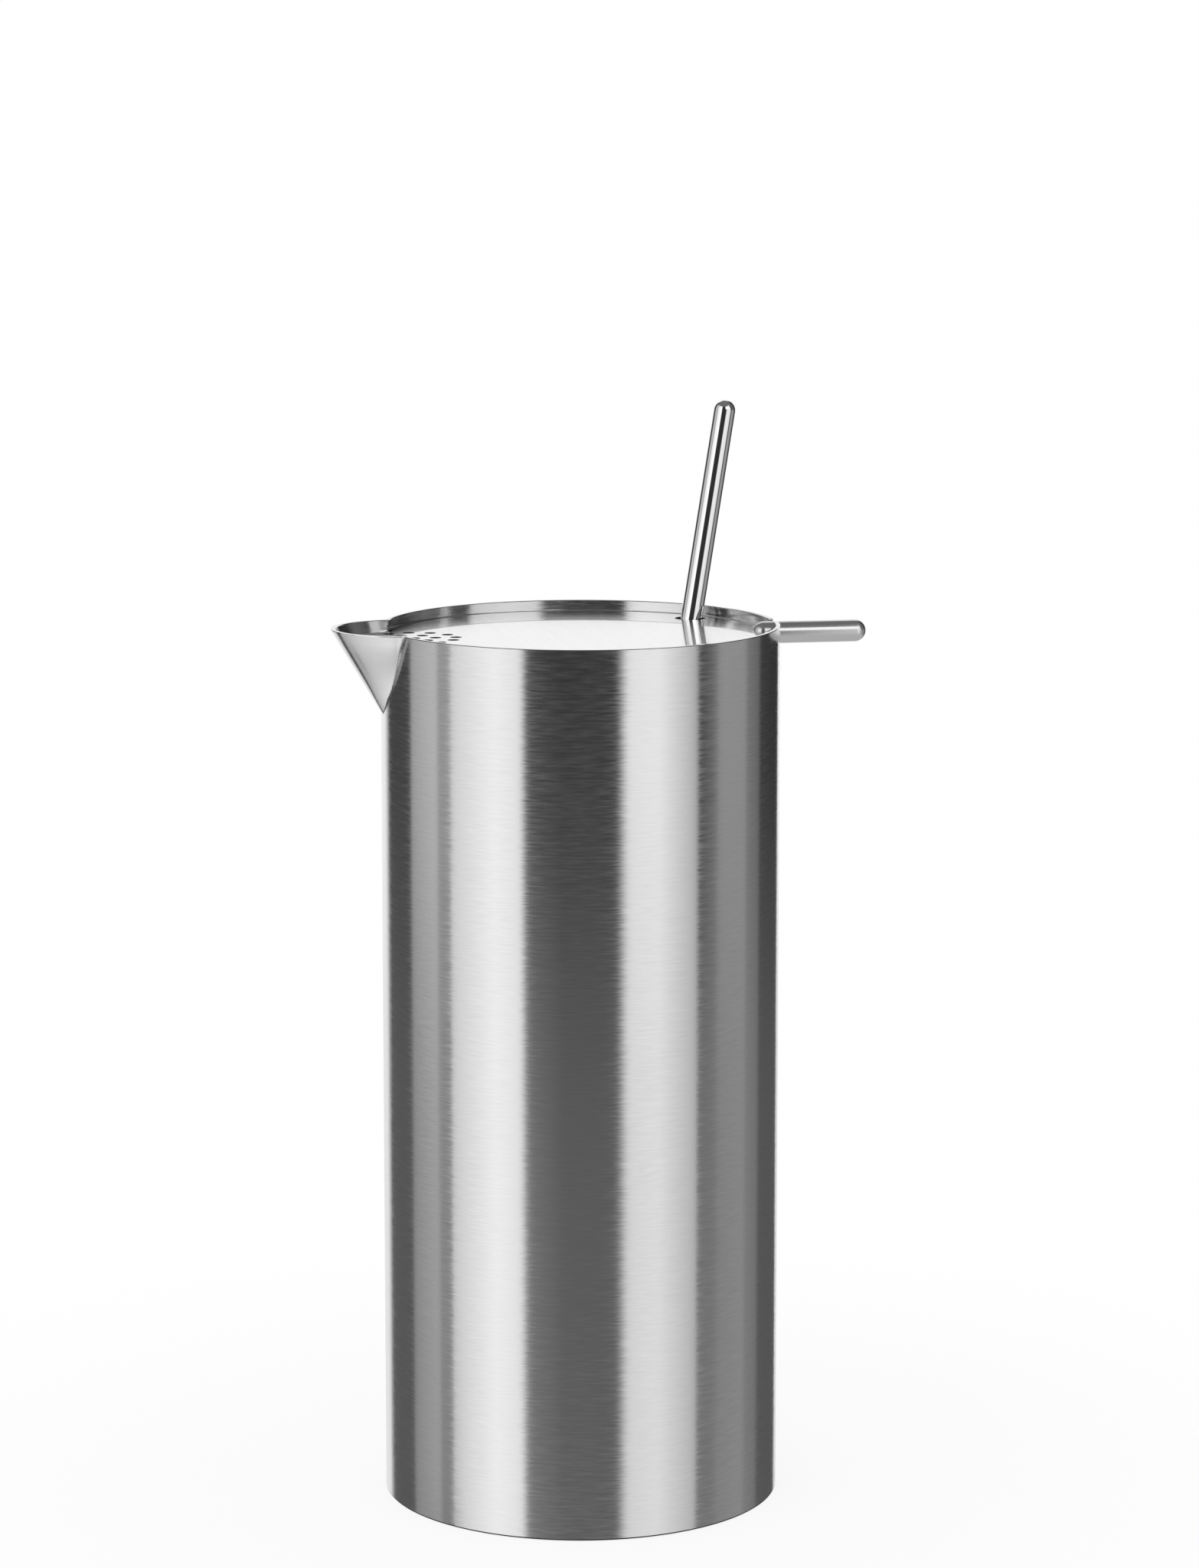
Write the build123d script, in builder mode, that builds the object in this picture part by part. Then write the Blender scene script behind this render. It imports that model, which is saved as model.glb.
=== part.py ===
from build123d import *

import math
import os

# Cocktail pitcher in stainless steel: a straight tube on a flat base with a conical spout,
# a drop-in lid with a pouring strainer, and a long spoon that stands through the lid.
# Sizes in millimetres. Z is the pitcher's axis and it stands on Z = 0.
# The spout points along -X and the lid's pin along +X.

# Body
body_diameter = 90.0
body_height = 200.0
sheet = 1.0
foot_fillet = 0.4

# Spout: the part of an upright cone that stands outside the wall
spout_axis_offset = 40.2
spout_mouth_radius = 16.4
spout_half_angle = 30.8
spout_point_radius = 2.0

# Lid: a flat plate under the rim, with a collar inside the body
lid_drop = 2.4
lid_wall_gap = 0.4
tongue_gap = 0.3
skirt_height = 12.0
skirt_wall_gap = 0.6
skirt_spout_gap = 34.0

# Strainer: rings of holes around a centre hole
strainer_offset = 37.7
strainer_hole = 2.6
strainer_rings = ((4.75, 6), (9.4, 12))

# Pin: the rod that lifts the lid, lying in a notch of the rim
pin_diameter = 5.0
pin_inner_end = 39.7
pin_outer_end = 65.8
pin_notch_gap = 0.3

# Spoon: a round rod that leans outwards against the edge of its hole
spoon_diameter = 5.0
spoon_reach = 39.0
spoon_bearing = 39.0
spoon_lean = 13.9
spoon_above_lid = 51.2
spoon_hole = 7.0
spoon_hole_reach = 38.5
neck_length = 16.0
neck_diameter = 3.2
neck_lap = 1.5
bowl_length = 28.0
bowl_width = 18.0
bowl_depth = 5.0
bowl_floor_gap = 0.4
bowl_levels = (0.0, 0.4, 0.7, 0.9)

# Heights and radii worked out from the sizes above
body_radius = body_diameter / 2
bore_radius = body_radius - sheet
spout_slope = math.tan(math.radians(spout_half_angle))
spout_depth = (spout_mouth_radius - spout_point_radius) / spout_slope
spout_sheet = sheet / math.cos(math.radians(spout_half_angle))
lid_top = body_height - lid_drop
lid_underside = lid_top - sheet
lid_radius = bore_radius - lid_wall_gap
tongue_drop = lid_drop + sheet
tongue_radius = spout_mouth_radius - spout_sheet - tongue_drop * spout_slope - tongue_gap
skirt_radius = bore_radius - skirt_wall_gap
pin_radius = pin_diameter / 2
pin_height = lid_underside + sheet / 2
notch_radius = pin_radius + pin_notch_gap

# Spoon frame: along the rod, upwards, and across it, the way the bowl opens
lean = math.radians(spoon_lean)
bearing = math.radians(spoon_bearing)
outward = Vector(math.cos(bearing), math.sin(bearing), 0)
spoon_up = outward * math.sin(lean) + Vector(0, 0, math.cos(lean))
bowl_facing = outward * -math.cos(lean) + Vector(0, 0, math.sin(lean))
spoon_at_lid = outward * spoon_reach + Vector(0, 0, lid_top)
bowl_height = sheet + bowl_floor_gap + bowl_length / 2 * math.cos(lean)
bowl_centre = spoon_at_lid - spoon_up * ((lid_top - bowl_height) / math.cos(lean))
spoon_radius = spoon_diameter / 2
neck_radius = neck_diameter / 2
shaft_start = bowl_length / 2 - neck_lap
shaft_end = (spoon_at_lid - bowl_centre).length + spoon_above_lid

# Body tube, cut away for the spout, with a notch in the rim for the lid's pin
with BuildPart() as body_tube:
    with BuildSketch():
        Circle(body_radius)
        Circle(bore_radius, mode=Mode.SUBTRACT)
    extrude(amount=body_height)
    foot_edges = body_tube.edges().group_by(Axis.Z)[0]
    fillet(foot_edges.sort_by(SortBy.RADIUS)[-1], radius=foot_fillet)
    with Locations((-spout_axis_offset, 0, body_height)):
        Cone(
            spout_point_radius,
            spout_mouth_radius,
            spout_depth,
            align=(Align.CENTER, Align.CENTER, Align.MAX),
            mode=Mode.SUBTRACT,
        )
    with BuildSketch(Plane.YZ):
        with Locations((0, pin_height)):
            Circle(notch_radius)
            Rectangle(2 * notch_radius, body_height, align=(Align.CENTER, Align.MIN))
    extrude(amount=body_diameter, mode=Mode.SUBTRACT)

# Base plate, welded flush into the foot of the tube
with BuildPart() as base_plate:
    with BuildSketch():
        Circle(bore_radius)
    extrude(amount=sheet)

# Spout: a cone of sheet, kept only outside the bore of the tube
with BuildPart() as spout:
    with Locations((-spout_axis_offset, 0, body_height)):
        Cone(
            spout_point_radius,
            spout_mouth_radius,
            spout_depth,
            align=(Align.CENTER, Align.CENTER, Align.MAX),
        )
        Cone(
            spout_point_radius - spout_sheet,
            spout_mouth_radius - spout_sheet,
            spout_depth,
            align=(Align.CENTER, Align.CENTER, Align.MAX),
            mode=Mode.SUBTRACT,
        )
    with BuildSketch():
        Circle(bore_radius)
    extrude(amount=body_height, mode=Mode.SUBTRACT)

# Lid plate: a disc with a tongue in the spout, strainer holes and the spoon's hole
with BuildPart() as lid_plate:
    with BuildSketch(Plane.XY.offset(lid_underside)):
        Circle(lid_radius)
        with Locations((-spout_axis_offset, 0)):
            Circle(tongue_radius)
        with Locations((-strainer_offset, 0)):
            Circle(strainer_hole / 2, mode=Mode.SUBTRACT)
            for ring_radius, hole_count in strainer_rings:
                with PolarLocations(ring_radius, hole_count):
                    Circle(strainer_hole / 2, mode=Mode.SUBTRACT)
        with PolarLocations(spoon_hole_reach, 1, start_angle=spoon_bearing):
            Circle(spoon_hole / 2, mode=Mode.SUBTRACT)
        with Locations((pin_inner_end, 0)):
            SlotOverall(
                body_radius,
                pin_diameter,
                align=(Align.MIN, Align.CENTER),
                mode=Mode.SUBTRACT,
            )
    extrude(amount=sheet)

# Lid skirt: the collar under the plate, open at the spout, that keeps the lid level
with BuildPart() as lid_skirt:
    with BuildSketch(Plane.XY.offset(lid_underside)):
        Circle(skirt_radius)
        Circle(skirt_radius - sheet, mode=Mode.SUBTRACT)
        with Locations((-body_radius, 0)):
            Rectangle(body_radius, skirt_spout_gap, mode=Mode.SUBTRACT)
    extrude(amount=-skirt_height)
    with BuildSketch(Plane.YZ):
        with Locations((0, pin_height)):
            Circle(pin_radius)
    extrude(amount=body_diameter, mode=Mode.SUBTRACT)

# Lid pin: a rod with round ends, fixed in the slot at the edge of the plate
with BuildPart() as lid_pin:
    with BuildSketch(Plane.XZ):
        with Locations((pin_inner_end, pin_height)):
            SlotOverall(
                pin_outer_end - pin_inner_end,
                pin_diameter,
                align=(Align.MIN, Align.CENTER),
            )
            Rectangle(
                pin_outer_end,
                pin_diameter,
                align=(Align.MIN, Align.MAX),
                mode=Mode.SUBTRACT,
            )
    revolve(axis=Axis((0, 0, pin_height), (1, 0, 0)))

# Outer form of the spoon's bowl: half an egg shape, lofted down from the brim
bowl_plane = Plane(bowl_centre, x_dir=spoon_up, z_dir=bowl_facing)
with BuildPart() as bowl_form:
    for level in bowl_levels:
        with BuildSketch(bowl_plane.offset(-level * bowl_depth)):
            narrowing = math.sqrt(1 - level**2)
            Ellipse(bowl_length / 2 * narrowing, bowl_width / 2 * narrowing)
    loft()

# Spoon bowl, hollowed to the thickness of the sheet
with BuildPart() as spoon_bowl:
    add(bowl_form.part)
    for level in bowl_levels:
        with BuildSketch(bowl_plane.offset(-level * (bowl_depth - sheet))):
            narrowing = math.sqrt(1 - level**2)
            Ellipse(
                (bowl_length / 2 - sheet) * narrowing,
                (bowl_width / 2 - sheet) * narrowing,
            )
    loft(mode=Mode.SUBTRACT)

# Spoon shaft: a rod with a round top and a neck that tapers to the bowl
shaft_plane = Plane(bowl_centre, x_dir=bowl_facing, z_dir=bowl_facing.cross(spoon_up))
with BuildPart() as spoon_shaft:
    with BuildSketch(shaft_plane):
        with BuildLine():
            Polyline(
                (0, shaft_end),
                (0, shaft_start),
                (neck_radius, shaft_start),
                (spoon_radius, shaft_start + neck_length),
                (spoon_radius, shaft_end - spoon_radius),
            )
            RadiusArc((spoon_radius, shaft_end - spoon_radius), (0, shaft_end), -spoon_radius)
        make_face()
    revolve(axis=Axis(bowl_centre, spoon_up))
    add(bowl_form.part, mode=Mode.SUBTRACT)

body_tube.part.label = "body_tube"
base_plate.part.label = "base_plate"
spout.part.label = "spout"
lid_plate.part.label = "lid_plate"
lid_skirt.part.label = "lid_skirt"
lid_pin.part.label = "lid_pin"
spoon_shaft.part.label = "spoon_shaft"
spoon_bowl.part.label = "spoon_bowl"

os.makedirs("parts", exist_ok=True)
export_step(body_tube.part, "parts/body_tube.step")
export_step(base_plate.part, "parts/base_plate.step")
export_step(spout.part, "parts/spout.step")
export_step(lid_plate.part, "parts/lid_plate.step")
export_step(lid_skirt.part, "parts/lid_skirt.step")
export_step(lid_pin.part, "parts/lid_pin.step")
export_step(spoon_shaft.part, "parts/spoon_shaft.step")
export_step(spoon_bowl.part, "parts/spoon_bowl.step")
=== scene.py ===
import math

import bmesh
import bpy
from mathutils import Matrix, Vector


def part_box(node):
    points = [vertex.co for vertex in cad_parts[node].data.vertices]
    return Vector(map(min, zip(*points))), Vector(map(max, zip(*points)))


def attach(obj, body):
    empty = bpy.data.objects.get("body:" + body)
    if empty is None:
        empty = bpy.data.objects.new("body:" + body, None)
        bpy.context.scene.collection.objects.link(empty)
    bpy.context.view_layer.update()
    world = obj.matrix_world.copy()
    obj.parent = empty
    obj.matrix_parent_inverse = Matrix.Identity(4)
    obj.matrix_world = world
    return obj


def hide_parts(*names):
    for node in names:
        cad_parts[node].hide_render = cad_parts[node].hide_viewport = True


# Cocktail pitcher: its steel surfaces, the studio around it and the camera.
# Metres. Z is the pitcher's axis, the spout points along -X and the lid's pin along +X.
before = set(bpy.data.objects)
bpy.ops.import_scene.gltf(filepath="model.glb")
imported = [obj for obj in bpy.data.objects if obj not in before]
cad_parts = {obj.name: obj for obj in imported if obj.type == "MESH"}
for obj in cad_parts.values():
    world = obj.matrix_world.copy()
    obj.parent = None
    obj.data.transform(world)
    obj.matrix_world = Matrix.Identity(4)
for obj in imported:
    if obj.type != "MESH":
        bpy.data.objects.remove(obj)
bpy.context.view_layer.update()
mm = 0.001

# Body and spout. The spout lies in a zone under the rim and a span to either side of -X.
body_radius = 45 * mm
body_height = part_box("body_tube")[1].z
sheet = 1.0 * mm
foot_fillet = 0.4 * mm
# Below this height the foot's rounded edge is painted dark: a painted reflection of the shade where the
# tube meets the floor.
foot_shade_height = 0.38 * mm
rim_bevel = 0.14 * mm
spout_axis_offset = 40.2 * mm
spout_mouth_radius = 16.4 * mm
spout_half_angle = math.radians(30.8)
spout_zone = 26 * mm
spout_span = math.radians(27)
spout_pinch = 1.06
spout_fullness = 0.20
spout_full_from = 2 * mm
spout_fullest = 12 * mm
spout_full_to = 19 * mm
spout_fillet = 0.12 * mm
rim_fillet = 1.4 * mm
rim_fillet_zone = 4.5 * mm
notch_radius = 2.8 * mm
notch_zone = 8 * mm

# Lid
lid_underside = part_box("lid_plate")[0].z
lid_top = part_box("lid_plate")[1].z
lid_gap = 0.4 * mm
lid_bevel = 0.1 * mm
lid_round = 0.7 * mm
hole_bevel = 0.04 * mm
strainer_offset = 37.7 * mm
strainer_hole = 2.6 * mm
strainer_rings = ((4.75 * mm, 6), (9.4 * mm, 12))
skirt_radius = 43.4 * mm
skirt_height = 12 * mm
skirt_spout_gap = 34 * mm
pin_radius = 2.5 * mm
pin_inner_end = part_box("lid_pin")[0].x
pin_outer_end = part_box("lid_pin")[1].x
pin_height = (lid_underside + lid_top) / 2
slot_easing = 0.1

# Spoon
spoon_radius = 2.5 * mm
spoon_reach = 39 * mm
spoon_bearing = math.radians(39)
spoon_lean = math.radians(13.9)
spoon_above_lid = 51.2 * mm
spoon_hole = 7 * mm
spoon_hole_reach = 38.5 * mm
neck_length = 16 * mm
neck_radius = 1.6 * mm
neck_lap = 1.5 * mm
bowl_length = 28 * mm
bowl_width = 18 * mm
bowl_depth = 4.8 * mm
bowl_floor_gap = 0.4 * mm

# Fineness of the meshes: counts of their divisions, the slimmest column and the angle of a sharp edge
spout_columns = 150
side_columns = 70
notch_columns = 20
foot_rows = 6
lower_rows = 12
spout_rows = 96
lid_columns = 120
slot_columns = 32
hole_sides = 40
lid_round_rows = 6
skirt_columns = 80
skirt_pin_columns = 24
skirt_rows = 12
neck_end_rows = 6
neck_rows = 16
ball_rows = 14
dish_rows = 24
brim_rows = 8
base_sides = 180
round_sides = 96
sliver = 1e-5
crease_angle = math.radians(40)

# Places in a piece's list of finishes; the second one holds the painted shade
main_finish = 0
painted_shade_slot = 1

# Steel finishes: the middle span of a noise, its fineness, and the clouds and relief that they share
noise_low = 0.3
noise_high = 0.7
fine_detail = 3
broad_detail = 2
cloud_waves = (35, 35, 22)
cloud_swing = 0.06
grain_depth = 0.02 * mm


def steps(start, end, count):
    """Evenly spaced values from start to end, both included."""
    return [start + (end - start) * k / count for k in range(count + 1)]


def smooth_step(value, low, high):
    """Rises smoothly from 0 at low to 1 at high."""
    share = min(max((value - low) / (high - low), 0), 1)
    return share * share * (3 - 2 * share)


def smooth_max(first, second, width):
    """The larger of two lengths, rounded over where they are closer than the width."""
    closeness = max(width - abs(first - second), 0) / width
    return max(first, second) + closeness * closeness * width / 4


# Materials

def new_steel(name, colour, roughness, anisotropy):
    """A bare steel shader with its grain direction, and the nodes to build a finish on."""
    material = bpy.data.materials.new(name)
    material.use_nodes = True
    tree = material.node_tree
    shader = tree.nodes["Principled BSDF"]
    shader.inputs["Base Color"].default_value = (colour, colour, colour, 1)
    shader.inputs["Metallic"].default_value = 1.0
    shader.inputs["Roughness"].default_value = roughness
    shader.inputs["Anisotropic"].default_value = anisotropy
    if anisotropy > 0:
        tangent = tree.nodes.new("ShaderNodeTangent")
        tangent.direction_type = "UV_MAP"
        tangent.uv_map = "grain"
        tree.links.new(tangent.outputs["Tangent"], shader.inputs["Tangent"])
    return material, tree, shader


def noise(tree, source, stretch, detail):
    """Noise over a coordinate output, with its own count of waves per metre on each axis."""
    mapping = tree.nodes.new("ShaderNodeMapping")
    mapping.inputs["Scale"].default_value = stretch
    texture = tree.nodes.new("ShaderNodeTexNoise")
    texture.inputs["Scale"].default_value = 1.0
    texture.inputs["Detail"].default_value = detail
    tree.links.new(source, mapping.inputs["Vector"])
    tree.links.new(mapping.outputs["Vector"], texture.inputs["Vector"])
    return texture.outputs["Fac"]


def spread(tree, value, low, high):
    """Maps the middle of a noise value's span to a span of numbers."""
    span = tree.nodes.new("ShaderNodeMapRange")
    span.inputs["From Min"].default_value = noise_low
    span.inputs["From Max"].default_value = noise_high
    span.inputs["To Min"].default_value = low
    span.inputs["To Max"].default_value = high
    tree.links.new(value, span.inputs["Value"])
    return span.outputs["Result"]


def multiply(tree, first, second):
    """The product of two node outputs."""
    product = tree.nodes.new("ShaderNodeMath")
    product.operation = "MULTIPLY"
    tree.links.new(first, product.inputs[0])
    tree.links.new(second, product.inputs[1])
    return product.outputs["Value"]


def swung_normal(tree, wave, swing):
    """The surface normal, swung around the Z axis a little by a noise value, as brushing leaves it."""
    surface = tree.nodes.new("ShaderNodeNewGeometry").outputs["Normal"]
    across = tree.nodes.new("ShaderNodeVectorMath")
    across.operation = "CROSS_PRODUCT"
    across.inputs[0].default_value = (0, 0, 1)
    tree.links.new(surface, across.inputs[1])
    shifted = tree.nodes.new("ShaderNodeVectorMath")
    shifted.operation = "MULTIPLY_ADD"
    tree.links.new(across.outputs["Vector"], shifted.inputs[0])
    tree.links.new(spread(tree, wave, -swing, swing), shifted.inputs[1])
    tree.links.new(surface, shifted.inputs[2])
    unit = tree.nodes.new("ShaderNodeVectorMath")
    unit.operation = "NORMALIZE"
    tree.links.new(shifted.outputs["Vector"], unit.inputs[0])
    return unit.outputs["Vector"]


def grained_steel(name, colour, roughness, anisotropy, grain, streak, contrast, relief,
                  swing=0.0, uneven=(0.75, 1.35)):
    """Steel with a fine grain and longer streaks, which vary its tone, roughness and relief."""
    material, tree, shader = new_steel(name, colour, roughness, anisotropy)
    place = tree.nodes.new("ShaderNodeTexCoord").outputs["Object"]
    fine = noise(tree, place, grain, fine_detail)
    broad = noise(tree, place, streak, broad_detail)
    cloud = noise(tree, place, cloud_waves, fine_detail)
    tone = multiply(tree, spread(tree, fine, 1 - contrast, 1 + contrast),
                    spread(tree, broad, 1 - contrast / 2, 1 + contrast / 2))
    tint = tree.nodes.new("ShaderNodeCombineColor")
    level = tree.nodes.new("ShaderNodeMath")
    level.operation = "MULTIPLY"
    level.inputs[1].default_value = colour
    tree.links.new(tone, level.inputs[0])
    for channel in ("Red", "Green", "Blue"):
        tree.links.new(level.outputs["Value"], tint.inputs[channel])
    tree.links.new(tint.outputs["Color"], shader.inputs["Base Color"])
    rough = multiply(tree, spread(tree, fine, roughness * uneven[0], roughness * uneven[1]),
                     spread(tree, cloud, 1 - cloud_swing, 1 + cloud_swing))
    tree.links.new(rough, shader.inputs["Roughness"])
    bump = tree.nodes.new("ShaderNodeBump")
    bump.inputs["Strength"].default_value = relief
    bump.inputs["Distance"].default_value = grain_depth
    tree.links.new(fine, bump.inputs["Height"])
    if swing > 0:
        tree.links.new(swung_normal(tree, broad, swing), bump.inputs["Normal"])
    tree.links.new(bump.outputs["Normal"], shader.inputs["Normal"])
    return material


def painted_shade_steel(name, colour):
    """Rough, nearly black steel that stands for shade: painted shade in holes and a painted dark
    reflection at the foot.
    """
    return grained_steel(
        name, colour, roughness=0.45, anisotropy=0.0, grain=(900, 900, 900),
        streak=(90, 90, 90), contrast=0.1, relief=0.1)


def add_coat(material, weight, roughness, ior):
    """A second, sharper reflection, which grows towards grazing angles as on fine satin steel."""
    shader = material.node_tree.nodes["Principled BSDF"]
    shader.inputs["Coat Weight"].default_value = weight
    shader.inputs["Coat Roughness"].default_value = roughness
    shader.inputs["Coat IOR"].default_value = ior


satin_body = grained_steel(
    "satin_body", colour=0.80, roughness=0.146, anisotropy=0.54, grain=(220, 220, 2300),
    streak=(220, 220, 3000), contrast=0.034, relief=0.25, swing=0.006, uneven=(0.7, 1.4))
satin_spout = grained_steel(
    "satin_spout", colour=0.80, roughness=0.16, anisotropy=0.5, grain=(300, 300, 2600),
    streak=(60, 60, 700), contrast=0.02, relief=0.03)
lid_steel = grained_steel(
    "lid_steel", colour=0.88, roughness=0.22, anisotropy=0.0, grain=(3000, 70, 70),
    streak=(600, 20, 20), contrast=0.07, relief=0.001, uneven=(0.96, 1.10))
add_coat(lid_steel, weight=1.0, roughness=0.03, ior=2.0)
# The walls of the strainer's holes are painted near black: painted shade inside the holes.
hole_shade_steel = painted_shade_steel("hole_shade_steel", colour=0.07)
skirt_steel = grained_steel(
    "skirt_steel", colour=0.78, roughness=0.22, anisotropy=0.8, grain=(60, 60, 4200),
    streak=(12, 12, 800), contrast=0.05, relief=0.1)
pin_steel = grained_steel(
    "pin_steel", colour=0.80, roughness=0.27, anisotropy=0.0, grain=(40, 1500, 1500),
    streak=(20, 500, 500), contrast=0.02, relief=0.01)
spoon_steel = grained_steel(
    "spoon_steel", colour=0.92, roughness=0.035, anisotropy=0.0, grain=(1500, 1500, 40),
    streak=(400, 400, 12), contrast=0.01, relief=0.01)
# The foot's rounded edge is painted near black: a painted reflection of the shade at the floor.
foot_shade_steel = painted_shade_steel("foot_shade_steel", colour=0.06)
base_steel = grained_steel(
    "base_steel", colour=0.76, roughness=0.30, anisotropy=0.0, grain=(1600, 60, 60),
    streak=(300, 20, 20), contrast=0.05, relief=0.08)


# Mesh helpers

def new_piece(name, mesh, body, node, material):
    """Adds a finished mesh as the piece that stands for a CAD node and rides its body."""
    piece = bpy.data.objects.new(name, mesh)
    bpy.context.scene.collection.objects.link(piece)
    mesh.materials.append(material)
    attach(piece, body)
    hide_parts(node)
    return piece


def smooth_mesh(name, points, faces, grain):
    """A smooth mesh with a UV map, given per point, whose U runs across the grain."""
    mesh = bpy.data.meshes.new(name)
    mesh.from_pydata(points, [], faces)
    uv = mesh.uv_layers.new(name="grain")
    for corner in mesh.loops:
        uv.data[corner.index].uv = grain[corner.vertex_index]
    mesh.shade_smooth()
    return mesh


def ring_mesh(name, rings, sides, place):
    """A closed mesh of ellipses (half length, half width, height); the first and last are points."""
    points, faces, grain, starts = [], [], [], []
    run = 0.0
    for k, (long_half, wide_half, height) in enumerate(rings):
        if k > 0:
            run += math.hypot(long_half - rings[k - 1][0], height - rings[k - 1][2])
        starts.append(len(points))
        for side in range(1 if long_half == 0 else sides):
            turn = 2 * math.pi * side / sides
            local = Vector((long_half * math.cos(turn), wide_half * math.sin(turn), height))
            points.append(place @ local)
            grain.append((run, turn * wide_half))
    for k in range(len(rings) - 1):
        low, high = starts[k], starts[k + 1]
        for side in range(sides):
            ahead = (side + 1) % sides
            if rings[k][0] == 0:
                faces.append((low, high + ahead, high + side))
            elif rings[k + 1][0] == 0:
                faces.append((low + side, low + ahead, high))
            else:
                faces.append((low + side, low + ahead, high + ahead, high + side))
    mesh = smooth_mesh(name, points, faces, grain)
    mesh.set_sharp_from_angle(angle=crease_angle)
    return mesh


def sheet_wall(name, columns, rows, closed, outer, inner, top, keep):
    """Closed mesh of a bent sheet between two skins, with a bevelled rim along its top.

    The columns are angles counted from the spout and the rows are heights. outer and inner give
    a skin's distance from the axis, top gives the rim's height, and keep chooses the cells.
    """
    points, grain, normals, faces, corner_normals = [], [], [], [], []
    numbers = {}
    last = len(rows) - 1
    full_top = rows[last] + rim_bevel

    def on_skin(reach, angle, height):
        """A point of one of the skins."""
        radius = reach(angle, height)
        return Vector((-radius * math.cos(angle), -radius * math.sin(angle), height))

    def normal(reach, angle, height):
        """The skin's normal, away from the sheet, from two short steps along it."""
        turn = 0.0005
        rise = 0.02 * mm
        around = on_skin(reach, angle + turn, height) - on_skin(reach, angle - turn, height)
        upward = on_skin(reach, angle, height + rise) - on_skin(reach, angle, max(height - rise, 0))
        return around.cross(upward).normalized() * (1 if reach is outer else -1)

    def fitted(height, rim):
        """A row's height where the rim is lower: the rows near the rim close up below it."""
        start = full_top - notch_zone
        if height <= start:
            return height
        return start + (height - start) * (rim - start) / notch_zone

    def vertex(kind, row, column):
        """The number of a vertex of a skin or of the rim, which is added at its first use."""
        column = column % len(columns)
        key = (kind, row, column)
        if key not in numbers:
            angle = columns[column]
            rim = top(angle)
            reach = outer if kind.startswith("outer") else inner
            height = fitted(rows[row], rim)
            spot = on_skin(reach, angle, height)
            along = height if reach is outer else 2 * full_top + sheet - height
            if kind.endswith("rim"):
                spot = on_skin(reach, angle, rim)
                inset = Vector((spot.x, spot.y, 0)).normalized() * rim_bevel
                spot += inset if reach is inner else -inset
                along = full_top + (rim_bevel if reach is outer else sheet)
            numbers[key] = len(points)
            points.append(spot)
            grain.append((along, angle * body_radius))
            normals.append(normal(reach, angle, height))
        return numbers[key]

    def face(corners, smooth):
        """Adds a quad, with the skin's own normals or flat."""
        faces.append(corners)
        a, b, c, d = (points[corner] for corner in corners)
        flat = (c - a).cross(d - b).normalized()
        corner_normals.extend(normals[corner] if smooth else flat for corner in corners)

    lip = ("outer", "outer_rim", "inner_rim", "inner")
    count = len(columns) if closed else len(columns) - 1
    cells = {(r, c) for r in range(last) for c in range(count) if keep(columns, rows, r, c)}
    for r, c in sorted(cells):
        face([vertex("outer", r, c), vertex("outer", r, c + 1),
              vertex("outer", r + 1, c + 1), vertex("outer", r + 1, c)], True)
        face([vertex("inner", r, c), vertex("inner", r + 1, c),
              vertex("inner", r + 1, c + 1), vertex("inner", r, c + 1)], True)
        if r + 1 == last:
            for near, far in zip(lip, lip[1:]):
                face([vertex(near, last, c), vertex(near, last, c + 1),
                      vertex(far, last, c + 1), vertex(far, last, c)], False)
        elif (r + 1, c) not in cells:
            face([vertex("outer", r + 1, c), vertex("outer", r + 1, c + 1),
                  vertex("inner", r + 1, c + 1), vertex("inner", r + 1, c)], False)
        if (r - 1, c) not in cells:
            face([vertex("inner", r, c), vertex("inner", r, c + 1),
                  vertex("outer", r, c + 1), vertex("outer", r, c)], False)
        for edge, beyond, turned in ((c, c - 1, False), (c + 1, c + 1, True)):
            if (r, beyond % count if closed else beyond) in cells:
                continue
            ends = [[vertex("outer", r, edge), vertex("outer", r + 1, edge),
                     vertex("inner", r + 1, edge), vertex("inner", r, edge)]]
            if r + 1 == last:
                ends.append([vertex(kind, last, edge) for kind in lip])
            for end in ends:
                face(end[::-1] if turned else end, False)
    mesh = smooth_mesh(name, points, faces, grain)
    mesh.normals_split_custom_set(corner_normals)
    return mesh


# Body tube and spout: one skin around the axis, in which the spout's cone swells out of the tube

def cone_reach(angle, height, wall):
    """How far the spout's cone reaches from the axis, in a direction counted from the spout.

    The cone is not quite round: it is a little pinched at the rim and fuller in its lower half.
    """
    depth = body_height - height
    fullness = smooth_step(depth, spout_full_from, spout_fullest)
    fullness *= smooth_step(depth, spout_full_to, spout_fullest)
    across = spout_axis_offset * math.sin(angle) * (spout_pinch - spout_fullness * fullness)
    radius = spout_mouth_radius - wall / math.cos(spout_half_angle) - depth * math.tan(spout_half_angle)
    chord = max(radius, 0) ** 2 - across**2
    return spout_axis_offset * math.cos(angle) + math.sqrt(max(chord, 0))


def seam_fillet(height):
    """Width of the outer fillet between spout and tube, which grows towards the rim."""
    near_rim = max(1 - (body_height - height) / rim_fillet_zone, 0)
    return spout_fillet + rim_fillet * near_rim


def outer_reach(angle, height):
    """Radius of the outer skin, with the foot's rounded edge and a fillet along the spout."""
    low = max(foot_fillet - height, 0)
    tube = body_radius - foot_fillet + math.sqrt(max(foot_fillet**2 - low**2, 0))
    return smooth_max(tube, cone_reach(angle, height, 0), seam_fillet(height))


def inner_reach(angle, height):
    """Radius of the inner skin, with an even fillet along the spout."""
    return smooth_max(body_radius - sheet, cone_reach(angle, height, sheet), spout_fillet)


def rim_height(angle):
    """Height of the rim, which drops into a round-bottomed notch under the lid's pin."""
    across = body_radius * math.sin(angle)
    if math.cos(angle) > 0 or abs(across) > notch_radius:
        return body_height
    return pin_height - math.sqrt(notch_radius**2 - across**2)


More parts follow.
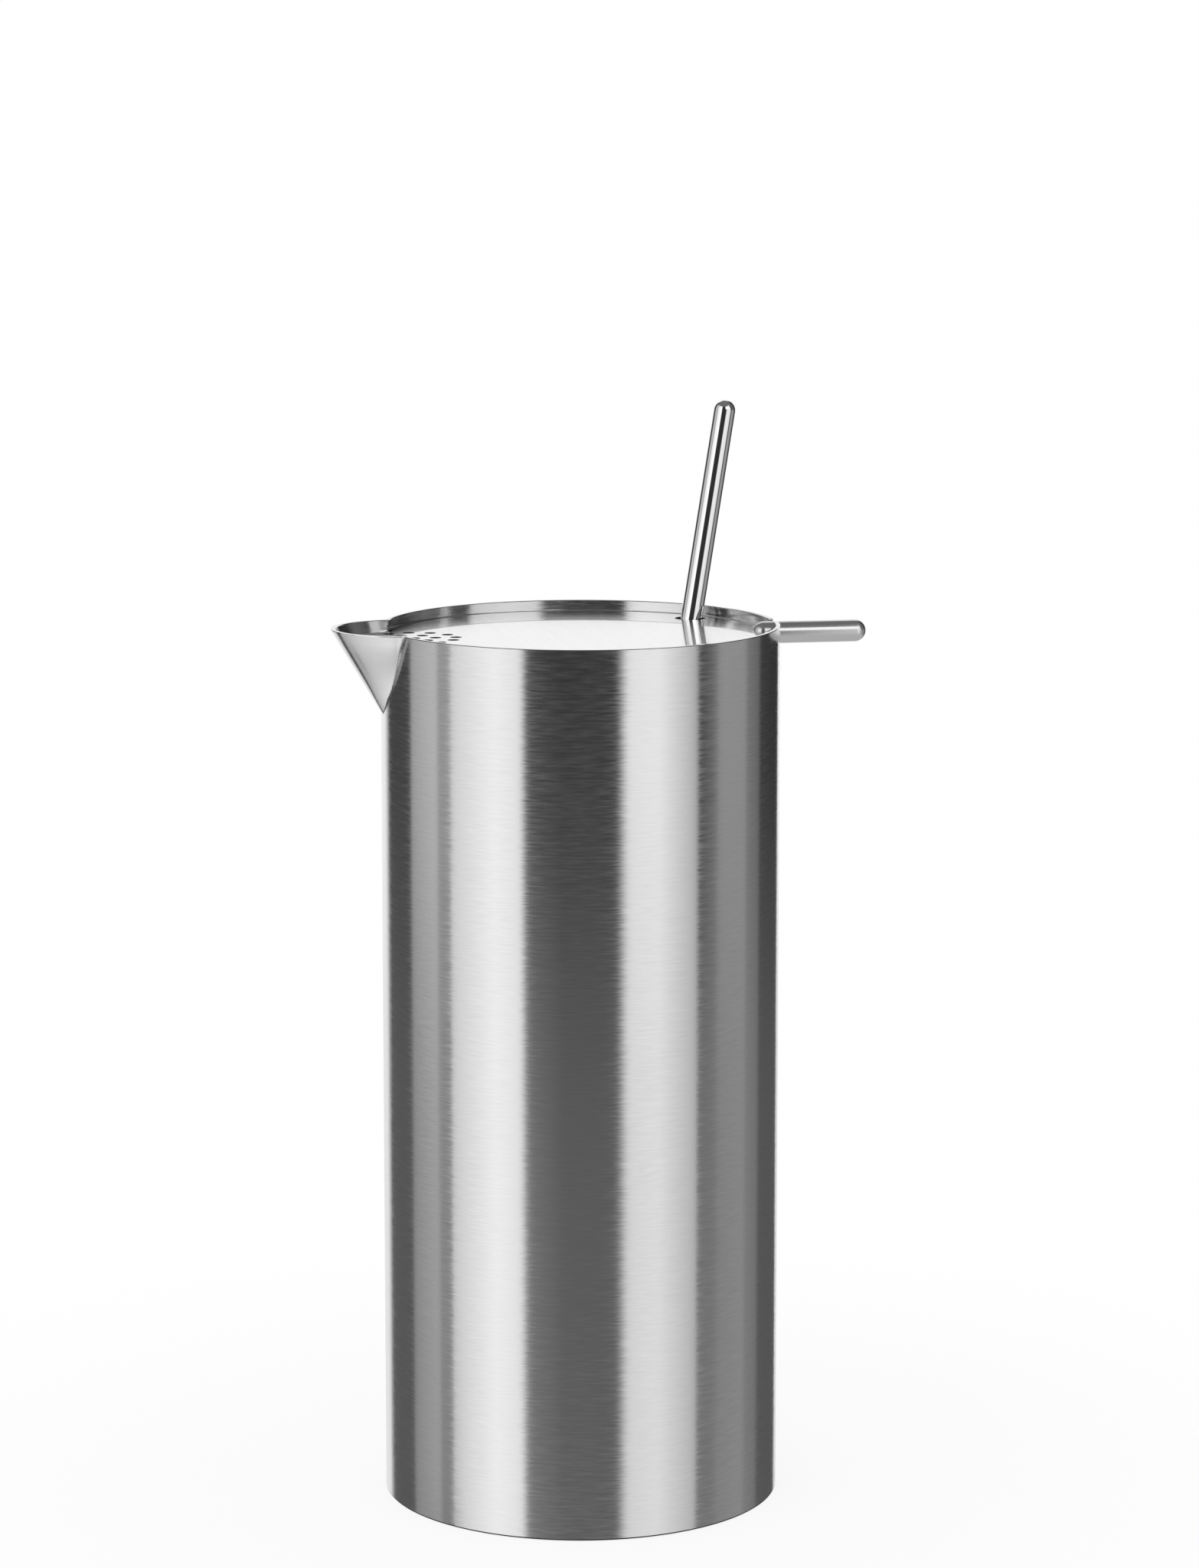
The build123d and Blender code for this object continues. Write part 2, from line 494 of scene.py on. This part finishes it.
def body_columns():
    """Angles of the columns: fine across the spout, with a close pair at each side of the notch."""
    notch_span = math.asin(notch_radius / body_radius)
    fine = steps(-spout_span, spout_span, spout_columns)
    near_side = steps(spout_span, math.pi - notch_span - sliver, side_columns)[1:]
    quarter = math.pi / 2 - sliver
    notch = [math.pi + math.asin(math.sin(k) * math.sin(notch_span))
             for k in steps(-quarter, quarter, notch_columns)]
    far_side = steps(math.pi + notch_span + sliver, 2 * math.pi - spout_span, side_columns)[:-1]
    return fine + near_side + notch + far_side


def body_rows():
    """Heights of the rows: dense around the foot's rounded edge and along the spout."""
    foot = [foot_fillet * (1 - math.cos(k)) for k in steps(0, math.pi / 2, foot_rows)]
    lower = steps(foot_fillet, body_height - spout_zone, lower_rows)[1:]
    upper = steps(body_height - spout_zone, body_height - rim_bevel, spout_rows)[1:]
    return foot + lower + upper


def in_spout(columns, rows, row, column):
    """True for a cell of the skin that lies on the spout's cone."""
    if column + 1 >= len(columns):
        return False
    angle = (columns[column] + columns[column + 1]) / 2
    height = (rows[row] + rows[row + 1]) / 2
    return cone_reach(angle, height, 0) > body_radius


def in_tube(columns, rows, row, column):
    """True for a cell of the skin that lies on the tube."""
    return not in_spout(columns, rows, row, column)


def add_tube(skins):
    """The tube, with a painted dark reflection of shade along its foot's rounded edge."""
    tube = sheet_wall("tube_shell", *skins, in_tube)
    new_piece("tube_shell", tube, "pitcher", "body_tube", satin_body)
    tube.materials.append(foot_shade_steel)
    # Faces low on the foot take the painted dark reflection of shade.
    for face in tube.polygons:
        if face.center.z < foot_shade_height:
            face.material_index = painted_shade_slot


def add_spout(skins):
    """The spout, cut from the same skins as the tube."""
    spout = sheet_wall("spout_shell", *skins, in_spout)
    new_piece("spout_shell", spout, "pitcher", "spout", satin_spout)


def add_base():
    """The flat base in the foot of the tube."""
    bore = body_radius - sheet
    profile = [(0, 0), (bore - rim_bevel, 0), (bore, rim_bevel), (bore, sheet), (0, sheet)]
    disc = ring_mesh("base_disc", [(r, r, h) for r, h in profile], base_sides, Matrix())
    new_piece("base_disc", disc, "pitcher", "base_plate", base_steel)


def add_body():
    """The tube, its spout and its base."""
    skins = (body_columns(), body_rows(), True, outer_reach, inner_reach, rim_height)
    add_tube(skins)
    add_spout(skins)
    add_base()


# Lid

def arc(centre, radius, start, end, count):
    """Points along an arc."""
    return [centre + Vector((math.cos(a), math.sin(a))) * radius for a in steps(start, end, count)]


def lid_outline(inset):
    """The plate's edge along the wall, the spout and the pin's slot, moved inwards.

    Along the slot it moves by a small share of the inset only, so that the plate stays close to the pin.
    """
    slot_half = pin_radius + inset * slot_easing
    slot_turn = math.asin(slot_half / (body_radius - sheet - lid_gap - inset))
    turns = steps(slot_turn - math.pi, -spout_span, lid_columns)[:-1]
    turns += steps(-spout_span, spout_span, lid_columns)
    turns += steps(spout_span, math.pi - slot_turn, lid_columns)[1:]
    edge = []
    for turn in turns:
        reach = inner_reach(turn, lid_underside) - lid_gap - inset
        edge.append(Vector((-reach * math.cos(turn), -reach * math.sin(turn))))
    slot_end = Vector((pin_inner_end + pin_radius, 0))
    return edge + arc(slot_end, slot_half, -math.pi / 2, -3 * math.pi / 2, slot_columns)


def lid_holes():
    """Centres and radii of the strainer's holes and of the spoon's hole."""
    strainer = Vector((-strainer_offset, 0))
    spots = [strainer]
    for ring_radius, hole_count in strainer_rings:
        spots += arc(strainer, ring_radius, 0, 2 * math.pi, hole_count)[:-1]
    spoon_spot = Vector((math.cos(spoon_bearing), math.sin(spoon_bearing))) * spoon_hole_reach
    return [(spot, strainer_hole / 2) for spot in spots] + [(spoon_spot, spoon_hole / 2)]


def lid_mesh():
    """The plate: flat faces filled between its outline and its holes, joined by softened edges."""
    shape = bmesh.new()

    def loop(outline, height):
        """A closed line of vertices at one height, and its edges."""
        verts = [shape.verts.new((spot.x, spot.y, height)) for spot in outline]
        return verts, [shape.edges.new((verts[k - 1], verts[k])) for k in range(len(verts))]

    def band(rows, finish, inwards):
        """Faces between the loops of one edge, from the underside up."""
        for low, high in zip(rows, rows[1:]):
            for k in range(len(low)):
                corners = (low[k - 1], low[k], high[k], high[k - 1])
                strip = shape.faces.new(corners[::-1] if inwards else corners)
                strip.material_index = finish
                strip.smooth = True

    edge_rows = [(lid_bevel, lid_underside), (0, lid_underside + lid_bevel)]
    edge_rows += [(lid_round * (1 - math.cos(a)), lid_top - lid_round * (1 - math.sin(a)))
                  for a in steps(0, math.pi / 2, lid_round_rows)]
    loops = [loop(lid_outline(inset), height) for inset, height in edge_rows]
    band([verts for verts, _ in loops], main_finish, False)
    under_edges = list(loops[0][1])
    top_edges = list(loops[-1][1])
    hole_rows = [(hole_bevel, lid_underside), (0, lid_underside + hole_bevel),
                 (0, lid_top - hole_bevel), (hole_bevel, lid_top)]
    for spot, radius in lid_holes():
        loops = [loop(arc(spot, radius + grow, 0, 2 * math.pi, hole_sides)[:-1], height)
                 for grow, height in hole_rows]
        # The walls of the holes take the painted shade.
        band([verts for verts, _ in loops], painted_shade_slot, True)
        under_edges += loops[0][1]
        top_edges += loops[-1][1]
    for edges, way in ((under_edges, -1), (top_edges, 1)):
        bmesh.ops.triangle_fill(shape, edges=edges, use_beauty=True, normal=(0, 0, way))
        for edge in edges:
            edge.smooth = False
    mesh = bpy.data.meshes.new("lid_disc")
    shape.to_mesh(mesh)
    shape.free()
    return mesh


def skirt_top(angle):
    """Height of the collar's top edge, hollowed under the pin."""
    across = skirt_radius * math.sin(angle)
    if math.cos(angle) > 0 or abs(across) >= pin_radius:
        return lid_underside
    return min(lid_underside, pin_height - math.sqrt(pin_radius**2 - across**2))


def add_plate():
    """The plate, with painted shade on the walls of its holes."""
    disc = lid_mesh()
    new_piece("lid_disc", disc, "lid", "lid_plate", lid_steel)
    disc.materials.append(hole_shade_steel)


def add_collar():
    """The collar under the plate, open at the spout."""
    gap_turn = math.asin(skirt_spout_gap / 2 / skirt_radius)
    pin_turn = math.asin(pin_radius / skirt_radius)
    columns = steps(gap_turn, math.pi - pin_turn, skirt_columns)[:-1]
    columns += steps(math.pi - pin_turn, math.pi + pin_turn, skirt_pin_columns)
    columns += steps(math.pi + pin_turn, 2 * math.pi - gap_turn, skirt_columns)[1:]
    rows = steps(lid_underside - skirt_height, lid_underside - rim_bevel, skirt_rows)
    skirt = sheet_wall(
        "lid_collar", columns, rows, False, lambda *_: skirt_radius, lambda *_: skirt_radius - sheet,
        skirt_top, lambda *_: True)
    new_piece("lid_collar", skirt, "lid", "lid_skirt", skirt_steel)


def add_pin():
    """The rod with round ends that lifts the lid."""
    turns = steps(0, math.pi / 2, ball_rows)
    profile = [(pin_radius * math.sin(a), pin_inner_end + pin_radius * (1 - math.cos(a))) for a in turns]
    profile += [(pin_radius * math.cos(a), pin_outer_end - pin_radius * (1 - math.sin(a)))
                for a in turns]
    profile[0] = (0, pin_inner_end)
    profile[-1] = (0, pin_outer_end)
    place = Matrix.Translation((0, 0, pin_height)) @ Matrix.Rotation(math.pi / 2, 4, "Y")
    pin = ring_mesh("lifting_pin", [(r, r, h) for r, h in profile], round_sides, place)
    new_piece("lifting_pin", pin, "lid", "lid_pin", pin_steel)


def add_lid():
    """The plate, its collar and its pin."""
    add_plate()
    add_collar()
    add_pin()


# Spoon

def spoon_place():
    """The spoon's own frame and the height of its top in it.

    The origin is in the bowl, Z runs along the rod and X the way the bowl opens.
    """
    outward = Vector((math.cos(spoon_bearing), math.sin(spoon_bearing), 0))
    upward = Vector((0, 0, 1))
    along = outward * math.sin(spoon_lean) + upward * math.cos(spoon_lean)
    facing = upward * math.sin(spoon_lean) - outward * math.cos(spoon_lean)
    at_lid = outward * spoon_reach + upward * lid_top
    bowl_height = sheet + bowl_floor_gap + bowl_length / 2 * math.cos(spoon_lean)
    rod = (lid_top - bowl_height) / math.cos(spoon_lean)
    turn = Matrix((facing, along.cross(facing), along)).transposed()
    return Matrix.Translation(at_lid - along * rod) @ turn.to_4x4(), rod + spoon_above_lid


def add_rod(place, top):
    """The spoon's rod, with its round top and its neck."""
    foot = bowl_length / 2 - neck_lap
    profile = [(0, foot)]
    profile += [(neck_radius * math.sin(a), foot + neck_radius * (1 - math.cos(a)) / 2)
                for a in steps(0, math.pi / 2, neck_end_rows)[1:]]
    for share in steps(0, 1, neck_rows)[1:]:
        radius = neck_radius + (spoon_radius - neck_radius) * smooth_step(share, 0, 1)
        profile.append((radius, foot + neck_radius / 2 + (neck_length - neck_radius / 2) * share))
    profile += [(spoon_radius * math.cos(a), top - spoon_radius * (1 - math.sin(a)))
                for a in steps(0, math.pi / 2, ball_rows)[:-1]]
    profile.append((0, top))
    rod = ring_mesh("spoon_rod", [(r, r, h) for r, h in profile], round_sides, place)
    new_piece("spoon_rod", rod, "spoon", "spoon_shaft", spoon_steel)


def add_dish(place):
    """The spoon's bowl, with a round brim."""
    long_half = bowl_length / 2
    wide_half = bowl_width / 2
    brim = sheet / 2
    outside = [(long_half * math.cos(a), wide_half * math.cos(a), -bowl_depth * math.sin(a))
               for a in steps(math.pi / 2, 0, dish_rows)]
    lip = [(long_half - brim * (1 - math.cos(a)), wide_half - brim * (1 - math.cos(a)),
            brim * math.sin(a)) for a in steps(0, math.pi, brim_rows)[1:-1]]
    inside = [((long_half - sheet) * math.cos(a), (wide_half - sheet) * math.cos(a),
               -(bowl_depth - sheet) * math.sin(a)) for a in steps(0, math.pi / 2, dish_rows)]
    outside[0] = (0, 0, -bowl_depth)
    inside[-1] = (0, 0, -(bowl_depth - sheet))
    tilt = Matrix(((0, 0, 1, 0), (0, -1, 0, 0), (1, 0, 0, 0), (0, 0, 0, 1)))
    dish = ring_mesh("spoon_dish", outside + lip + inside, round_sides, place @ tilt)
    new_piece("spoon_dish", dish, "spoon", "spoon_bowl", spoon_steel)


def add_spoon():
    """The rod and the bowl at its foot."""
    place, top = spoon_place()
    add_rod(place, top)
    add_dish(place)


# Studio: a white background, cards for the steel to reflect, and a small pale floor

camera_place = Vector((-0.1831, -1.0634, 0.3379))
camera_aim = Vector((0.1714, 0.9722, -0.1596))
camera_reach = 20
lens = 110.85
sensor = 36.0
camera_bearing = math.atan2(camera_place.y, camera_place.x)

# Cards around the pitcher. A bearing is in degrees around the pitcher from the camera's side, positive
# towards the picture's right. Each card has the bearing of its first edge, the softness of that edge, and
# the tones at its two ends, high up, at the middle and low down.
cards = (
    (-180, 0.0, (0.95, 0.95), (0.95, 0.95), (0.80, 0.90)),
    (-148, 6.0, (0.05, 0.05), (0.06, 0.06), (0.12, 0.11)),
    (-114, 1.0, (0.42, 0.60), (0.42, 0.60), (0.29, 0.43)),
    (-89.5, 1.0, (0.34, 0.36), (0.34, 0.36), (0.28, 0.26)),
    (-79.5, 1.0, (0.78, 1.06), (0.78, 1.06), (0.72, 1.07)),
    (-50, 1.0, (1.10, 1.10), (1.06, 0.92), (1.07, 0.96)),
    (-32.5, 2.5, (1.10, 1.00), (0.08, 0.06), (0.27, 0.20)),
    (-28, 2.0, (0.05, 0.03), (0.06, 0.04), (0.20, 0.15)),
    (-12, 1.0, (0.03, 0.03), (0.04, 0.04), (0.14, 0.13)),
    (24, 4.0, (0.84, 0.90), (0.96, 1.00), (0.80, 0.88)),
    (45, 1.0, (0.90, 0.76), (1.00, 0.48), (0.88, 0.54)),
    (70.6, 0.9, (0.07, 0.06), (0.03, 0.20), (0.19, 0.22)),
    (85, 3.0, (0.10, 0.14), (0.34, 0.32), (0.26, 0.30)),
    (110, 1.2, (0.12, 0.06), (0.21, 0.15), (0.24, 0.20)),
    (125, 1.5, (0.04, 0.02), (0.05, 0.03), (0.11, 0.10)),
    (160, 2.0, (0.95, 0.95), (0.95, 0.95), (0.80, 0.80)),
    (180, 0.0, (0.95, 0.95), (0.95, 0.95), (0.80, 0.80)),
)

# Where a card keeps its tones, and the heights at which the ring of cards has them
high, middle, low = 2, 3, 4
card_levels = ((-1.35, low), (-0.52, low), (-0.26, middle), (0.24, middle), (0.44, high), (3.0, high))
ring_radius = 2.8
ring_steps = 720
full_turn = (-180, 180)
least_softness = 0.01

# Ground and ceiling, round cards with a tiny hole. On the left, between these bearings, the ground turns
# lighter near the pitcher and darker far from it.
ground_height = card_levels[0][0]
ceiling_height = card_levels[-1][0]
disc_hole = 0.01
disc_steps = 72
ground_tone = 0.50
ground_near_gain = 0.58
ground_far_loss = 0.13
ground_left_front = (8, -32)
ground_left_back = (-180, -160)
ground_left_middle = -120
ceiling_tone = 0.15

# Light boxes and a low dark flag: bearings in degrees, distances, heights and tones. An edge of the high
# box is a distance and a height, and the flag's foot rises between two bearings.
front_box_span = (12, 60)
front_box_steps = 24
front_box_radius = 2.6
front_box_heights = (1.2, 2.95)
front_box_tone = 1.3
high_box_span = (52, 74)
high_box_steps = 11
high_box_edges = ((2.5, 2.2), (1.9, 2.9))
high_box_tone = 0.62
flag_span = (-150, -74)
flag_steps = 38
flag_radius = 2.1
flag_top = -0.80
flag_tone = 0.04
flag_foot_rise = 0.34
flag_foot_span = (-118, -126)

# Background, floor and lamp
world_as_light = 0.9
world_as_seen = 1.0
floor_radius = 0.3
floor_fade_start = 0.09
floor_fade_end = 0.26
floor_tone = 0.95
floor_white_share = 0.85
floor_drop = 0.1 * mm
lamp_width = 1.4
lamp_depth = 1.0
lamp_power = 4.0
lamp_place = Vector((-1.2, -0.8, 1.7))
lamp_aim = Vector((0, 0, 0.1))


def card_tone(bearing, level):
    """Brightness of the cards in a direction, at one of their levels."""
    tone = cards[0][level][0]
    for card, after in zip(cards, cards[1:]):
        start, end = card[0], after[0]
        softness = card[1] + least_softness
        share = min(max((bearing - start) / (end - start), 0), 1)
        own = card[level][0] + (card[level][1] - card[level][0]) * share
        tone += (own - tone) * smooth_step(bearing, start - softness, start + softness)
    return tone


def glow():
    """An emission material that shows a mesh's own tones."""
    material = bpy.data.materials.new("card_glow")
    material.use_nodes = True
    tree = material.node_tree
    tree.nodes.clear()
    tones = tree.nodes.new("ShaderNodeAttribute")
    tones.attribute_name = "tone"
    light = tree.nodes.new("ShaderNodeEmission")
    output = tree.nodes.new("ShaderNodeOutputMaterial")
    tree.links.new(tones.outputs["Fac"], light.inputs["Strength"])
    tree.links.new(light.outputs["Emission"], output.inputs["Surface"])
    return material


def add_stage_mesh(name, points, faces, material):
    """Adds a mesh that belongs to the studio and not to the object."""
    mesh = bpy.data.meshes.new(name)
    mesh.from_pydata(points, [], faces)
    mesh.materials.append(material)
    thing = bpy.data.objects.new(name, mesh)
    bpy.context.scene.collection.objects.link(thing)
    return thing


def add_card(name, columns, material):
    """Adds a card that only shows in the steel, from columns of points with their tones."""
    rows = len(columns[0])
    points = [point for column in columns for point, _ in column]
    faces = [(k, k + rows, k + rows + 1, k + 1)
             for column in range(len(columns) - 1)
             for k in range(column * rows, column * rows + rows - 1)]
    card = add_stage_mesh(name, points, faces, material)
    tone = card.data.attributes.new("tone", "FLOAT", "POINT")
    tone.data.foreach_set("value", [tone for column in columns for _, tone in column])
    card.visible_camera = False
    card.visible_diffuse = False
    card.visible_shadow = False


def around(bearing, radius, height):
    """A point of the studio, by its bearing, its distance from the axis and its height."""
    angle = camera_bearing + math.radians(bearing)
    return radius * math.cos(angle), radius * math.sin(angle), height


def add_ring(material):
    """The ring of upright cards around the pitcher."""
    ring = [[(around(b, ring_radius, height), card_tone(b, level)) for height, level in card_levels]
            for b in steps(*full_turn, ring_steps)]
    add_card("ring_cards", ring, material)


def add_ground(material):
    """The ground, which on the left is lighter near the pitcher and darker far from it."""
    ground = []
    for b in steps(*full_turn, disc_steps):
        span = ground_left_front if b > ground_left_middle else ground_left_back
        left = smooth_step(b, *span)
        near = ground_tone + ground_near_gain * left
        far = ground_tone - ground_far_loss * left
        ground.append([(around(b, disc_hole, ground_height), near),
                       (around(b, ring_radius, ground_height), far)])
    add_card("ground", ground, material)


def add_ceiling(material):
    """The dark ceiling."""
    ceiling = [[(around(b, radius, ceiling_height), ceiling_tone) for radius in (disc_hole, ring_radius)]
               for b in steps(*full_turn, disc_steps)]
    add_card("ceiling", ceiling, material)


def add_boxes(material):
    """A bright box above and to the right of the camera, and a dimmer one beside it, higher up."""
    front_box = [[(around(b, front_box_radius, height), front_box_tone) for height in front_box_heights]
                 for b in steps(*front_box_span, front_box_steps)]
    add_card("front_box", front_box, material)
    high_box = [[(around(b, radius, height), high_box_tone) for radius, height in high_box_edges]
                for b in steps(*high_box_span, high_box_steps)]
    add_card("high_box", high_box, material)


def add_flag(material):
    """A low dark flag on the left."""
    flag = []
    for b in steps(*flag_span, flag_steps):
        foot = ground_height + flag_foot_rise * smooth_step(b, *flag_foot_span)
        flag.append([(around(b, flag_radius, height), flag_tone) for height in (foot, flag_top)])
    add_card("low_flag", flag, material)


def add_cards():
    """All the cards that the steel reflects."""
    material = glow()
    add_ring(material)
    add_ground(material)
    add_ceiling(material)
    add_boxes(material)
    add_flag(material)


def seen_directly(tree):
    """A node output that is 1 for rays that show the background: camera, glossy and transmission."""
    path = tree.nodes.new("ShaderNodeLightPath")
    total = path.outputs["Is Camera Ray"]
    for kind in ("Is Glossy Ray", "Is Transmission Ray"):
        larger = tree.nodes.new("ShaderNodeMath")
        larger.operation = "MAXIMUM"
        tree.links.new(total, larger.inputs[0])
        tree.links.new(path.outputs[kind], larger.inputs[1])
        total = larger.outputs["Value"]
    return total


def add_world():
    """White all round where it is seen, and a little less as light."""
    world = bpy.data.worlds.new("studio")
    bpy.context.scene.world = world
    world.use_nodes = True
    tree = world.node_tree
    strength = tree.nodes.new("ShaderNodeMapRange")
    strength.inputs["To Min"].default_value = world_as_light
    strength.inputs["To Max"].default_value = world_as_seen
    tree.links.new(seen_directly(tree), strength.inputs["Value"])
    background = tree.nodes["Background"]
    background.inputs["Color"].default_value = (1, 1, 1, 1)
    tree.links.new(strength.outputs["Result"], background.inputs["Strength"])


def add_floor():
    """A pale round floor that keeps the shadow and fades into the white background."""
    material = bpy.data.materials.new("floor")
    material.use_nodes = True
    tree = material.node_tree
    tree.nodes.clear()
    nodes = tree.nodes
    link = tree.links.new
    pale = nodes.new("ShaderNodeBsdfDiffuse")
    pale.inputs["Color"].default_value = (floor_tone, floor_tone, floor_tone, 1)
    white = nodes.new("ShaderNodeEmission")
    clear = nodes.new("ShaderNodeBsdfTransparent")
    lift = nodes.new("ShaderNodeMath")
    lift.operation = "MULTIPLY"
    lift.inputs[1].default_value = floor_white_share
    lifted = nodes.new("ShaderNodeMixShader")
    faded = nodes.new("ShaderNodeMixShader")
    place = nodes.new("ShaderNodeTexCoord")
    distance = nodes.new("ShaderNodeVectorMath")
    distance.operation = "LENGTH"
    fade = nodes.new("ShaderNodeMapRange")
    fade.interpolation_type = "SMOOTHSTEP"
    fade.inputs["From Min"].default_value = floor_fade_start
    fade.inputs["From Max"].default_value = floor_fade_end
    output = nodes.new("ShaderNodeOutputMaterial")
    link(seen_directly(tree), lift.inputs[0])
    link(lift.outputs["Value"], lifted.inputs["Fac"])
    link(pale.outputs["BSDF"], lifted.inputs[1])
    link(white.outputs["Emission"], lifted.inputs[2])
    link(place.outputs["Object"], distance.inputs[0])
    link(distance.outputs["Value"], fade.inputs["Value"])
    link(fade.outputs["Result"], faded.inputs["Fac"])
    link(lifted.outputs["Shader"], faded.inputs[1])
    link(clear.outputs["BSDF"], faded.inputs[2])
    link(faded.outputs["Shader"], output.inputs["Surface"])
    edge = [(floor_radius * math.cos(a), floor_radius * math.sin(a), -floor_drop)
            for a in steps(0, 2 * math.pi, round_sides)[:-1]]
    floor = add_stage_mesh("floor", edge, [tuple(range(len(edge)))], material)
    floor.visible_glossy = False


def add_lamp():
    """A large soft lamp above and to the left of the camera."""
    light = bpy.data.lights.new("soft_lamp", "AREA")
    light.shape = "RECTANGLE"
    light.size = lamp_width
    light.size_y = lamp_depth
    light.energy = lamp_power
    lamp = bpy.data.objects.new("soft_lamp", light)
    lamp.location = lamp_place
    lamp.rotation_euler = (lamp_aim - lamp_place).to_track_quat("-Z", "Y").to_euler()
    lamp.visible_camera = False
    lamp.visible_glossy = False
    bpy.context.scene.collection.objects.link(lamp)


def add_camera():
    """The camera at the photograph's viewing angle."""
    data = bpy.data.cameras.new("camera")
    data.lens = lens
    data.sensor_width = sensor
    data.clip_end = camera_reach
    camera = bpy.data.objects.new("camera", data)
    camera.location = camera_place
    camera.rotation_euler = camera_aim.to_track_quat("-Z", "Y").to_euler()
    bpy.context.scene.collection.objects.link(camera)
    bpy.context.scene.camera = camera


add_body()
add_lid()
add_spoon()
add_cards()
add_world()
add_floor()
add_lamp()
add_camera()
bpy.context.scene.view_settings.view_transform = "Standard"
